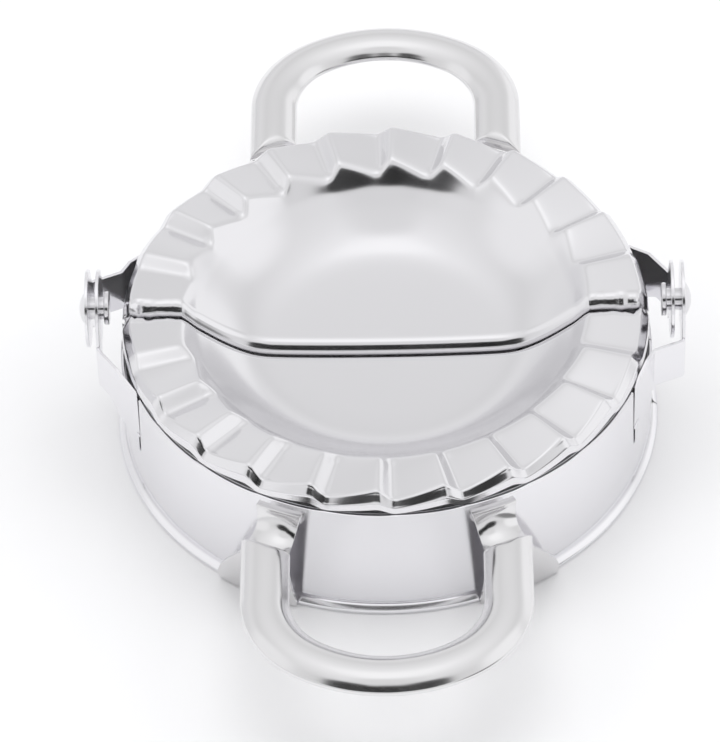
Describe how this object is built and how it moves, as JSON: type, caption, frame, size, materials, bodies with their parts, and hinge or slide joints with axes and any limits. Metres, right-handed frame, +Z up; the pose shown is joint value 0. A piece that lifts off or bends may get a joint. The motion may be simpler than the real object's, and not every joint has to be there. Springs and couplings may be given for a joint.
{
  "type": "empanada press",
  "caption": "Round pressed-steel press for filled dough, with pleated half bowls, a cutter ring below, loop handles and a side hinge that folds one half over the other.",
  "frame": {"origin": "on the table, under the middle of the seam between the two opened halves", "axes": "+Z up, X along the hinge axis, -Y towards the front half and its handle"},
  "size_m": [0.1098, 0.168, 0.0353],
  "materials": {
    "polished_plate": "polished stainless steel",
    "polished_band": "polished stainless steel",
    "polished_handle": "satin-polished stainless steel",
    "rivet_steel": "polished stainless steel"
  },
  "bodies": {
    "front_half": {"front_mold_plate": "polished_plate", "front_cutter_band": "polished_band", "front_handle": "polished_handle", "front_left_bracket": "polished_handle", "front_right_bracket": "polished_handle", "left_hinge_rivet": "rivet_steel", "right_hinge_rivet": "rivet_steel"},
    "rear_half": {"rear_mold_plate": "polished_plate", "rear_cutter_band": "polished_band", "rear_handle": "polished_handle", "rear_left_bracket": "polished_handle", "rear_right_bracket": "polished_handle"}
  },
  "joints": [
    {"name": "fold", "type": "hinge", "parent": "front_half", "child": "rear_half", "pos_m": [0, 0, 0.0283], "axis": [1, 0, 0], "range_deg": [0, 180]}
  ]
}
